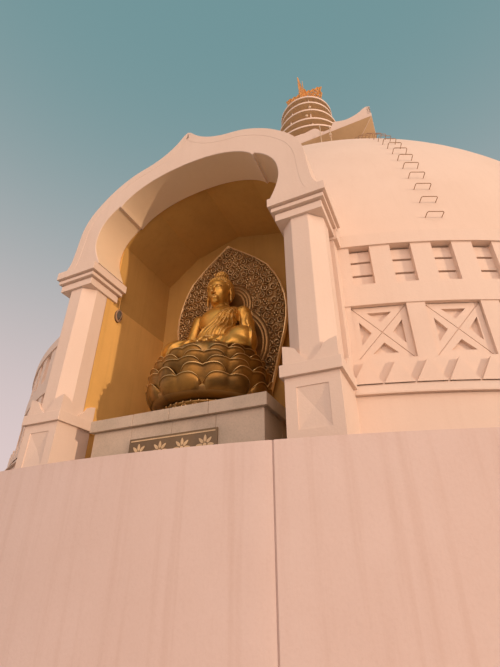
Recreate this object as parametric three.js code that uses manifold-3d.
// A domed stupa with four figure niches, in millimetres, +Z up.
// The origin is at ground level on the axis of the dome, and the front niche faces -Y.
import * as THREE from 'three';
import { mergeVertices } from 'three/addons/utils/BufferGeometryUtils.js';
import Module from 'manifold-3d';

const wasm = await Module();
wasm.setup();

// Driving dimensions
const seatGap = 0.3;
const quarterTurn = Math.PI / 2;
const roundSteps = 96;

const terrace = { radius: 12350, wallThickness: 250, wallTop: 2640, floorTop: 1640, copingRise: 45 };
const drum = {
  radius: 10500, top: 6195, plainRadius: 10400, skirtRadius: 10650, skirtBottom: 3628, skirtTop: 3860,
};
const dome = { radius: 9935, centre: 6460, lipRadius: 10500, lipTop: 6420, lipDrop: 60, crownBottom: 9560 };
const harmika = {
  half: 2600, bottom: 15600, corniceHalf: 3578, soffit: 18590, corniceTop: 18780, soffitRise: 420,
};
const crest = {
  thickness: 150, inset: 12, foot: 20, hornRise: 560, saddleRise: 240, shoulderRise: 420, length: 1790,
  middleHalf: 1350, middleRise: 480, middleDip: 330,
};
const spire = {
  bottom: 18780, coreFoot: 1650, coreTop: 900, coreInset: 150, ringThickness: 150, ringLip: 60,
  ringBottoms: [20330, 21400, 22650, 23830, 24850, 25430], ringRadii: [2750, 2440, 2000, 1740, 1540, 1520],
  top: 26300, topRadius: 300, steps: 24,
};
const finial = { bottom: 26300, reach: 1250, wingTop: 28400, tip: 29900, thickness: 110, coreRadius: 150 };

const niche = {
  facade: 11230, half: 1845, wallOuter: 2470, wallFront: 806, back: 2440,
};
const vault = { spring: 7710, foldHalf: 1080, fold: 8345, ridge: 8650 };
const column = {
  x: 2163, y: 459, pedestal: 770, die: 672, pedestalTop: 3837, pedestalCapBottom: 3675,
  shaft: 632, spurRise: 270, spurOut: 346,
};
const capital = {
  slab: 905, middle: 818, lower: 722, lowerBottom: 6246, middleBottom: 6408, slabBottom: 6503, top: 6664,
};
const panel = { half: 194, bottom: 3030, top: 3540, depth: 24 };
const arch = {
  front: 78, back: 780, springOuter: 2560, springInner: 1690, cuspHalf: 1430, cuspHeight: 8010,
  crown: 8500, tip: 9478,
};
const plinth = { front: 432, half: 1466, slabBottom: 3520, top: 3701, inset: 60, inner: 2400 };
const throne = {
  y: 1520, footRadius: 860, waistRadius: 600, bowlFoot: 4100, widest: 4550, rimRadius: 1050, seatRadius: 790,
  seat: 4940, petals: 12, backDepth: 0.74,
};
const halo = {
  y: 2133, height: 5760, lean: 4.6, thickness: 70, bottom: 4300, half: 1240, widest: 6150, apex: 7970,
};
const figure = {
  y: 1770, lapY: 1420, headY: 1680, headCentre: 6560, headRadius: 270, shoulder: 6130, kneeHalf: 900,
};

// Materials
function surface(name, color, roughness, metalness = 0) {
  return new THREE.MeshStandardMaterial({ name, color, roughness, metalness });
}
const render = surface('painted_render', 0xe6d2c2, 0.85);
const plinthStone = surface('plinth_stone', 0xb9a898, 0.7);
const gilding = surface('gilded_bronze', 0xb07a2c, 0.35, 0.9);
const brightGilding = surface('bright_gilding', 0xd8913c, 0.3, 0.9);

const stupa = new THREE.Group();

// Closed meshes to solids and back, for cutting and joining
function solidOf(geometry) {
  const bare = geometry.clone();
  bare.deleteAttribute('normal');
  bare.deleteAttribute('uv');
  const merged = mergeVertices(bare, 0.01);
  const corners = merged.attributes.position.array;
  const index = merged.index.array;
  const kept = [];
  for (let i = 0; i < index.length; i += 3) {
    const [a, b, c] = [index[i], index[i + 1], index[i + 2]];
    if (a !== b && b !== c && a !== c) kept.push(a, b, c);
  }
  if (volumeOf(corners, kept) < 0) {
    for (let i = 0; i < kept.length; i += 3) [kept[i], kept[i + 1]] = [kept[i + 1], kept[i]];
  }
  return new wasm.Manifold(new wasm.Mesh({
    numProp: 3,
    vertProperties: new Float32Array(corners),
    triVerts: new Uint32Array(kept),
  }));
}

function geometryOf(solid) {
  const found = solid.getMesh();
  const geometry = new THREE.BufferGeometry();
  geometry.setAttribute('position', new THREE.BufferAttribute(found.vertProperties, 3));
  geometry.setIndex(new THREE.BufferAttribute(found.triVerts, 1));
  geometry.computeVertexNormals();
  return geometry;
}

function join(...shapes) {
  return geometryOf(shapes.map(solidOf).reduce((joined, next) => joined.add(next)));
}

function cut(shape, ...tools) {
  return geometryOf(tools.map(solidOf).reduce((left, tool) => left.subtract(tool), solidOf(shape)));
}

function common(shape, other) {
  return geometryOf(solidOf(shape).intersect(solidOf(other)));
}

function volumeOf(corners, index) {
  const [a, b, c] = [new THREE.Vector3(), new THREE.Vector3(), new THREE.Vector3()];
  let volume = 0;
  for (let i = 0; i < index.length; i += 3) {
    a.fromArray(corners, 3 * index[i]);
    b.fromArray(corners, 3 * index[i + 1]);
    c.fromArray(corners, 3 * index[i + 2]);
    volume += a.dot(b.cross(c)) / 6;
  }
  return volume;
}

function addMesh(parent, name, shape, material) {
  const mesh = new THREE.Mesh(join(shape), material);
  mesh.name = name;
  parent.add(mesh);
}

// Basic shapes
function block(x0, x1, y0, y1, z0, z1) {
  const geometry = new THREE.BoxGeometry(x1 - x0, y1 - y0, z1 - z0);
  geometry.translate((x0 + x1) / 2, (y0 + y1) / 2, (z0 + z1) / 2);
  return geometry;
}

// A profile of [radius, height] pairs turned about the vertical axis
function turned(profile, steps) {
  const geometry = new THREE.LatheGeometry(profile.map(([r, z]) => new THREE.Vector2(r, z)), steps);
  geometry.rotateX(quarterTurn);
  return geometry;
}

// An upright outline of [x, z] pairs made solid from y0 to y1
function upright(outline, y0, y1) {
  const shape = new THREE.Shape(outline.map(([x, z]) => new THREE.Vector2(x, z)));
  const geometry = new THREE.ExtrudeGeometry(shape, { depth: y1 - y0, bevelEnabled: false });
  geometry.rotateX(quarterTurn);
  geometry.translate(0, y1, 0);
  return geometry;
}

// A plan of [x, y] pairs made solid from z0 to z1
function standing(plan, z0, z1) {
  const shape = new THREE.Shape(plan.map(([x, y]) => new THREE.Vector2(x, y)));
  const geometry = new THREE.ExtrudeGeometry(shape, { depth: z1 - z0, bevelEnabled: false });
  geometry.translate(0, 0, z0);
  return geometry;
}

function ball(rx, ry, rz, x, y, z, around = 12, down = 8) {
  const geometry = new THREE.SphereGeometry(1, around, down);
  geometry.rotateX(quarterTurn);
  geometry.scale(rx, ry, rz);
  geometry.translate(x, y, z);
  return geometry;
}

// Smooth points through a few chosen ones
function smooth(points, count) {
  const places = points.map(([x, z]) => new THREE.Vector3(x, z, 0));
  const curve = new THREE.CatmullRomCurve3(places, false, 'centripetal');
  return curve.getPoints(count).map((p) => [p.x, p.y]);
}

function mirrored(points) {
  return points.map(([x, z]) => [-x, z]).reverse();
}

// Terrace: a filled podium with a parapet wall round its walk
const podiumRadius = terrace.radius - terrace.wallThickness - seatGap;
addMesh(stupa, 'terrace_podium', turned([
  [0, 0], [podiumRadius, 0], [podiumRadius, terrace.floorTop], [0, terrace.floorTop],
], roundSteps), render);

const wallProfile = [
  [terrace.radius - terrace.wallThickness, 0],
  [terrace.radius, 0],
  [terrace.radius, terrace.wallTop - terrace.copingRise],
  [terrace.radius - terrace.wallThickness * 0.2, terrace.wallTop - terrace.copingRise * 0.3],
  [terrace.radius - terrace.wallThickness * 0.5, terrace.wallTop],
  [terrace.radius - terrace.wallThickness * 0.8, terrace.wallTop - terrace.copingRise * 0.3],
  [terrace.radius - terrace.wallThickness, terrace.wallTop - terrace.copingRise],
  [terrace.radius - terrace.wallThickness, 0],
];
const wallRing = turned(wallProfile, roundSteps);
const wallJoint = 9.7;
const reach = terrace.radius * 2;
// The part of the plan between two bearings, less than half a turn apart
function wedge(from, to, z1) {
  const at = (degrees) => {
    const angle = THREE.MathUtils.degToRad(degrees);
    return [reach * Math.sin(angle), -reach * Math.cos(angle)];
  };
  return standing([[0, 0], at(from), at((from + to) / 2), at(to)], -1, z1);
}
const wallSides = ['front', 'right', 'back', 'left'];
const jointHalf = THREE.MathUtils.radToDeg(seatGap / terrace.radius);
wallSides.forEach((side, k) => {
  const start = wallJoint - 90 + 90 * k;
  const piece = common(wallRing, wedge(start + jointHalf, start + 90 - jointHalf, terrace.wallTop + 1));
  addMesh(stupa, `terrace_wall_${side}`, piece, render);
});

// Drum and dome: a masonry mass in quarters between the niches, round a core, under a crown
const drumBottom = terrace.floorTop + seatGap;
const drumSolid = turned([
  [0, drumBottom], [drum.plainRadius, drumBottom], [drum.plainRadius, drum.skirtBottom],
  [drum.skirtRadius, drum.skirtBottom], [drum.radius, drum.skirtTop], [drum.radius, drum.top], [0, drum.top],
], roundSteps);
const domeSteps = 9;
const domeFoot = dome.lipTop;
const domeProfile = [
  [0, drum.top + seatGap], [dome.lipRadius, drum.top + seatGap], [dome.lipRadius, dome.lipTop - dome.lipDrop],
];
const footAngle = Math.asin((domeFoot - dome.centre) / dome.radius);
for (let i = 0; i <= domeSteps; i += 1) {
  const angle = footAngle + (quarterTurn - footAngle) * (i / domeSteps);
  const r = i === domeSteps ? 0 : dome.radius * Math.cos(angle);
  domeProfile.push([r, dome.centre + dome.radius * Math.sin(angle)]);
}
const domeSolid = turned(domeProfile, roundSteps);
const far = terrace.radius;
const massTop = dome.crownBottom - seatGap;
const quarters = ['front_right', 'back_right', 'back_left', 'front_left'];
const quarterSigns = [[1, -1], [1, 1], [-1, 1], [-1, -1]];
function cornerBlock([sx, sy], inner, z0, z1) {
  const [near, away] = [inner, far];
  const xs = sx > 0 ? [near, away] : [-away, -near];
  const ys = sy > 0 ? [near, away] : [-away, -near];
  return block(xs[0], xs[1], ys[0], ys[1], z0, z1);
}

// A square block about a point of the plan
function squareBlock(size, x, y, z0, z1) {
  return block(x - size / 2, x + size / 2, y - size / 2, y + size / 2, z0, z1);
}

// The wing of a drum quarter that reaches forward to a column, and the column's place in it
function wing(side) {
  const [near, away] = side > 0 ? [niche.half, niche.wallOuter] : [-niche.wallOuter, -niche.half];
  return block(near, away, niche.wallFront, niche.back, drumBottom, drum.top);
}
function pedestalSpace(side) {
  const size = column.pedestal + 2 * seatGap;
  return squareBlock(size, side * column.x, column.y, 0, column.pedestalTop + seatGap);
}
function inNiche(shape, turns) {
  return shape.translate(0, -niche.facade, 0).rotateZ(quarterTurn * turns);
}

quarters.forEach((name, k) => {
  const corner = quarterSigns[k];
  const sector = common(drumSolid, cornerBlock(corner, niche.half, 0, drum.top + 1));
  const nextNiche = (k + 1) % 4;
  const whole = join(sector, inNiche(wing(1), k), inNiche(wing(-1), nextNiche));
  const fitted = cut(whole, inNiche(pedestalSpace(1), k), inNiche(pedestalSpace(-1), nextNiche));
  addMesh(stupa, `drum_${name}`, fitted, render);
  const haunch = common(domeSolid, cornerBlock(corner, niche.wallOuter + seatGap, drum.top, massTop));
  addMesh(stupa, `dome_haunch_${name}`, haunch, render);
});
const harmikaSeat = harmika.half + seatGap;
addMesh(stupa, 'dome_crown', cut(
  common(domeSolid, block(-far, far, -far, far, dome.crownBottom, far * 2)),
  block(-harmikaSeat, harmikaSeat, -harmikaSeat, harmikaSeat, harmika.bottom - seatGap, far * 2),
), render);

const coreReach = niche.facade - niche.back - seatGap;
const coreHalf = niche.half - seatGap;
addMesh(stupa, 'masonry_core', join(
  block(-coreHalf, coreHalf, -coreReach, coreReach, drumBottom, massTop),
  block(-coreReach, coreReach, -coreHalf, coreHalf, drumBottom, massTop),
  block(-niche.wallOuter, niche.wallOuter, -coreReach, coreReach, drum.top + seatGap, massTop),
  block(-coreReach, coreReach, -niche.wallOuter, niche.wallOuter, drum.top + seatGap, massTop),
), render);

// Harmika: a square block with a flared cornice whose corners turn up into horns
addMesh(stupa, 'harmika_block', block(-harmika.half, harmika.half, -harmika.half, harmika.half,
  harmika.bottom, harmika.soffit - harmika.soffitRise), render);
function pyramidSlab(half0, half1, z0, z1) {
  const diagonal = Math.SQRT2;
  const geometry = new THREE.CylinderGeometry(half1 * diagonal, half0 * diagonal, z1 - z0, 4);
  geometry.rotateY(quarterTurn / 2);
  geometry.rotateX(quarterTurn);
  geometry.translate(0, 0, (z0 + z1) / 2);
  return geometry;
}
const corniceFoot = harmika.soffit - harmika.soffitRise + seatGap;
const crestEnd = harmika.corniceHalf - crest.inset;
const crestFoot = harmika.corniceTop - crest.foot;
const crestOutline = [
  [crestEnd, crestFoot],
  ...smooth([
    [crestEnd, harmika.corniceTop + crest.hornRise - 60],
    [crestEnd - 170, harmika.corniceTop + crest.hornRise],
    [crestEnd - 560, harmika.corniceTop + crest.hornRise * 0.6],
    [crestEnd - 1050, harmika.corniceTop + crest.saddleRise],
    [crestEnd - 1600, harmika.corniceTop + crest.shoulderRise],
  ], 9),
  [crestEnd - crest.length, crestFoot],
];
const middleHalf = smooth([
  [crest.middleHalf, crestFoot],
  [crest.middleHalf - 60, harmika.corniceTop + crest.middleRise * 0.6],
  [crest.middleHalf - 250, harmika.corniceTop + crest.middleRise],
  [crest.middleHalf - 600, harmika.corniceTop + crest.middleRise * 0.95],
  [0, harmika.corniceTop + crest.middleDip],
], 8);
const middleCrest = [...middleHalf, ...mirrored(middleHalf).slice(1)];
const crestPieces = [];
for (let side = 0; side < 4; side += 1) {
  for (const outline of [crestOutline, mirrored(crestOutline), middleCrest]) {
    const piece = upright(outline, -crestEnd, -crestEnd + crest.thickness);
    crestPieces.push(piece.rotateZ(quarterTurn * side));
  }
}
addMesh(stupa, 'harmika_cornice', join(
  pyramidSlab(harmika.half, harmika.corniceHalf, corniceFoot, harmika.soffit),
  block(-harmika.corniceHalf, harmika.corniceHalf, -harmika.corniceHalf, harmika.corniceHalf,
    harmika.soffit - 1, harmika.corniceTop),
  ...crestPieces,
), render);

// Spire: stacked umbrella rings on a tapering core, turned as one casting
function spireProfile() {
  const points = [[0, spire.bottom + seatGap], [spire.coreFoot, spire.bottom + seatGap]];
  const last = spire.ringBottoms.length - 1;
  spire.ringBottoms.forEach((z, i) => {
    const coreRadius = THREE.MathUtils.lerp(spire.coreFoot, spire.coreTop, i / last) - spire.coreInset;
    points.push([coreRadius, z], [spire.ringRadii[i] - spire.ringLip, z]);
    points.push([spire.ringRadii[i], z + spire.ringLip], [spire.ringRadii[i], z + spire.ringThickness]);
    points.push([coreRadius, z + spire.ringThickness + spire.ringLip]);
  });
  points.push([spire.topRadius, spire.top], [0, spire.top]);
  return points;
}
addMesh(stupa, 'spire', turned(spireProfile(), spire.steps), render);

// Finial: four gilded fins round a spike
function finialWing() {
  return [
    [0, finial.bottom + seatGap], [finial.reach * 0.55, finial.bottom + seatGap],
    [finial.reach, finial.bottom + 500], [finial.reach * 0.93, finial.wingTop],
    [finial.reach * 0.45, finial.wingTop - 350], [finial.coreRadius, finial.tip - 900], [0, finial.tip],
  ];
}
const finialSide = finialWing();
const bothWings = [...finialSide.slice(1), ...mirrored(finialSide).slice(1, -1)];
function fin() {
  return upright(bothWings, -finial.thickness / 2, finial.thickness / 2);
}
addMesh(stupa, 'gilded_finial', join(fin(), fin().rotateZ(quarterTurn)), brightGilding);

// Niche parts, in the niche's own frame: x to the right, y inward from the facade
function octagon(across, x, y) {
  const half = across / 2;
  const cut = half * Math.tan(Math.PI / 8);
  return [
    [x + half, y - cut], [x + half, y + cut], [x + cut, y + half], [x - cut, y + half],
    [x - half, y + cut], [x - half, y - cut], [x - cut, y - half], [x + cut, y - half],
  ];
}

// Leaves at the pedestal's corners: each face is high at its ends and dips in a curve to its middle
function cornerSpurs(x, y) {
  const { spurOut, pedestalTop, spurRise } = column;
  const half = smooth([
    [spurOut, pedestalTop + spurRise], [spurOut * 0.7, pedestalTop + spurRise * 0.9],
    [spurOut * 0.5, pedestalTop + spurRise * 0.75], [spurOut * 0.4, pedestalTop + spurRise * 0.5],
    [spurOut * 0.25, pedestalTop + spurRise * 0.25], [0, pedestalTop + 6],
  ], 9);
  const foot = pedestalTop - 5;
  const outline = [[spurOut, foot], ...half, ...mirrored(half).slice(1), [-spurOut, foot]];
  const face = upright(outline, -spurOut, spurOut);
  return common(face, face.clone().rotateZ(quarterTurn)).translate(x, y, 0);
}

function columnSolid(side) {
  const x = side * column.x;
  const { y } = column;
  const base = terrace.floorTop + seatGap;
  const whole = join(
    squareBlock(column.die, x, y, base, column.pedestalCapBottom),
    squareBlock(column.pedestal, x, y, column.pedestalCapBottom - 1, column.pedestalTop),
    standing(octagon(column.shaft, x, y), column.pedestalTop - 1, capital.lowerBottom + 1),
    cornerSpurs(x, y),
    squareBlock(capital.lower, x, y, capital.lowerBottom, capital.middleBottom + 1),
    squareBlock(capital.middle, x, y, capital.middleBottom, capital.slabBottom + 1),
    squareBlock(capital.slab, x, y, capital.slabBottom, capital.top),
  );
  // A sunk panel on the front, outer and inner face of the pedestal
  const face = column.die / 2;
  const sunk = block(-panel.half, panel.half, -face - 1, -face + panel.depth, panel.bottom, panel.top);
  return cut(whole, ...[-1, 0, 1].map((k) => sunk.clone().rotateZ(quarterTurn * k).translate(x, y, 0)));
}

// Arch: an ogee outline over a trefoil opening
const outerHalf = smooth([
  [arch.springOuter, capital.top + seatGap], [2440, 6860], [2380, 7250], [2330, 7700], [2200, 8030],
  [1960, 8330], [1640, 8600], [1240, 8810], [780, 8930], [480, 9060], [230, 9250], [70, 9440],
], 26);
const innerHalf = [
  ...smooth([
    [arch.springInner, capital.top + seatGap], [1830, 6980], [1890, 7250], [1850, 7560], [1720, 7800],
    [1560, 7960], [arch.cuspHalf, arch.cuspHeight],
  ], 12),
  ...smooth([[1345, 8120], [1180, 8240], [860, 8370], [430, 8470], [0, arch.crown]], 9).slice(0, -1),
];
const outerLine = [...outerHalf, [0, arch.tip], ...mirrored(outerHalf)];
const innerLine = [...innerHalf, [0, arch.crown], ...mirrored(innerHalf)];
function archSolid() {
  return upright([...outerLine, ...innerLine.slice().reverse()], arch.front, arch.back);
}

// Chamber vault: a faceted ceiling under a roof that runs back into the dome
const vaultHalf = [[niche.half, vault.spring], [vault.foldHalf, vault.fold]];
const vaultLine = [...vaultHalf, [0, vault.ridge], ...mirrored(vaultHalf)];
function capitalSpace(side) {
  return squareBlock(capital.slab + 2 * seatGap, side * column.x, column.y, 0, capital.top + seatGap);
}
function vaultSolid() {
  const front = arch.back + seatGap;
  const foot = drum.top + seatGap;
  const walls = [[-arch.springOuter, foot], [arch.springOuter, foot]];
  const roof = upright([...outerLine, ...walls], front, niche.back);
  const space = block(-niche.wallOuter, niche.wallOuter, front, niche.back, foot, massTop);
  const dome = domeSolid.clone().translate(0, niche.facade, 0);
  const room = upright([[niche.half, 0], ...vaultLine, [-niche.half, 0]], 0, niche.back + 10);
  return cut(common(join(roof, dome), space), room, capitalSpace(-1), capitalSpace(1));
}

function plinthSolid() {
  const base = terrace.floorTop + seatGap;
  return join(
    block(-plinth.half + plinth.inset, plinth.half - plinth.inset, plinth.front + plinth.inset,
      plinth.inner, base, plinth.slabBottom + 1),
    block(-plinth.half, plinth.half, plinth.front, plinth.inner, plinth.slabBottom, plinth.top),
  );
}

// Lotus throne: a bowl whose sides are scalloped by the petals, flatter at the back where it nears the wall
function throneSolid() {
  const z0 = plinth.top + seatGap;
  const { footRadius, waistRadius, bowlFoot, widest, rimRadius, seatRadius, seat } = throne;
  const rings = [
    [footRadius, z0, 0], [footRadius, z0 + 90, 0],
    [waistRadius, z0 + 280, 0], [waistRadius, bowlFoot - 20, 0],
    [rimRadius * 0.77, bowlFoot, 0.03], [rimRadius * 0.95, (bowlFoot + widest) / 2, 0.05],
    [rimRadius, widest, 0.05], [rimRadius * 0.89, widest + 160, 0.04],
    [seatRadius, seat - 20, 0.02], [seatRadius - 60, seat, 0],
  ];
  const around = throne.petals * 2;
  const corners = [];
  for (const [radius, z, scallop] of rings) {
    for (let i = 0; i < around; i += 1) {
      const angle = (2 * Math.PI * i) / around;
      const r = radius * (i % 2 ? 1 : 1 - scallop);
      const depth = Math.sin(angle) > 0 ? throne.backDepth : 1;
      corners.push(r * Math.cos(angle), r * depth * Math.sin(angle), z);
    }
  }
  const index = [];
  for (let k = 0; k + 1 < rings.length; k += 1) {
    for (let i = 0; i < around; i += 1) {
      const next = (i + 1) % around;
      const [a, b, c, d] = [k * around + i, k * around + next, (k + 1) * around + next, (k + 1) * around + i];
      index.push(a, b, c, a, c, d);
    }
  }
  const foot = corners.length / 3;
  corners.push(0, 0, rings[0][1], 0, 0, throne.seat);
  const topRing = (rings.length - 1) * around;
  for (let i = 0; i < around; i += 1) {
    const next = (i + 1) % around;
    index.push(foot, next, i, foot + 1, topRing + i, topRing + next);
  }
  const geometry = new THREE.BufferGeometry();
  geometry.setAttribute('position', new THREE.Float32BufferAttribute(corners, 3));
  geometry.setIndex(index);
  geometry.computeVertexNormals();
  return geometry.translate(0, throne.y, 0);
}

// Seated figure: crossed legs, trunk, arms folded in the lap, neck and head with its topknot
function figureSolid() {
  const s = throne.seat + seatGap;
  const { y, lapY, headY, headRadius, headCentre, shoulder, kneeHalf } = figure;
  const body = join(
    ball(kneeHalf, 430, 165, 0, lapY, s + 135, 12, 6),
    ball(440, 300, 420, 0, y - 50, s + 370, 9, 6),
    ball(430, 260, 570, 0, y, s + 620, 9, 6),
    ball(520, 215, 200, 0, y + 10, shoulder - 160, 9, 5),
    ball(140, 175, 420, 505, y - 70, s + 690, 7, 5),
    ball(140, 175, 420, -505, y - 70, s + 690, 7, 5),
    ball(470, 240, 130, 0, lapY + 60, s + 320, 8, 4),
    ball(135, 145, 230, 0, y - 30, shoulder + 60, 8, 4),
    ball(headRadius * 0.88, headRadius, headRadius * 1.25, 0, headY, headCentre, 9, 7),
    ball(130, 130, 120, 0, headY + 50, headCentre + headRadius * 1.45, 7, 5),
  );
  return common(body, block(-2000, 2000, -2000, 4000, s, s + 4000));
}

// Halo: a leaf-shaped board behind the figure that leans forward, let into the back of the throne
function haloSolid() {
  const half = smooth([
    [760, halo.bottom], [900, 4750], [1080, 5370], [1190, 5700], [halo.half, halo.widest],
    [1140, 6680], [880, 7190], [360, 7670], [0, halo.apex],
  ], 18);
  const board = upright([...half, ...mirrored(half).slice(1)], 0, halo.thickness);
  board.translate(0, 0, -halo.height);
  board.rotateX(THREE.MathUtils.degToRad(halo.lean));
  board.translate(0, halo.y, halo.height);
  const clear = 1 + 2 * seatGap / throne.rimRadius;
  const slot = throneSolid().translate(0, -throne.y, 0).scale(clear, clear, 1).translate(0, throne.y, seatGap);
  return cut(board, slot);
}

const nicheNames = ['front', 'right', 'back', 'left'];
const sharedNicheParts = [
  ['column_left', columnSolid(-1), render],
  ['column_right', columnSolid(1), render],
  ['arch', archSolid(), render],
  ['vault', vaultSolid(), render],
  ['plinth', plinthSolid(), plinthStone],
  ['lotus_throne', throneSolid(), gilding],
  ['seated_figure', figureSolid(), gilding],
  ['halo', haloSolid(), gilding],
];
nicheNames.forEach((side, k) => {
  const frame = new THREE.Group();
  frame.rotation.z = quarterTurn * k;
  const seat = new THREE.Group();
  seat.position.set(0, -niche.facade, 0);
  frame.add(seat);
  for (const [name, solid, material] of sharedNicheParts) addMesh(seat, `${side}_${name}`, solid, material);
  stupa.add(frame);
});

export default stupa;
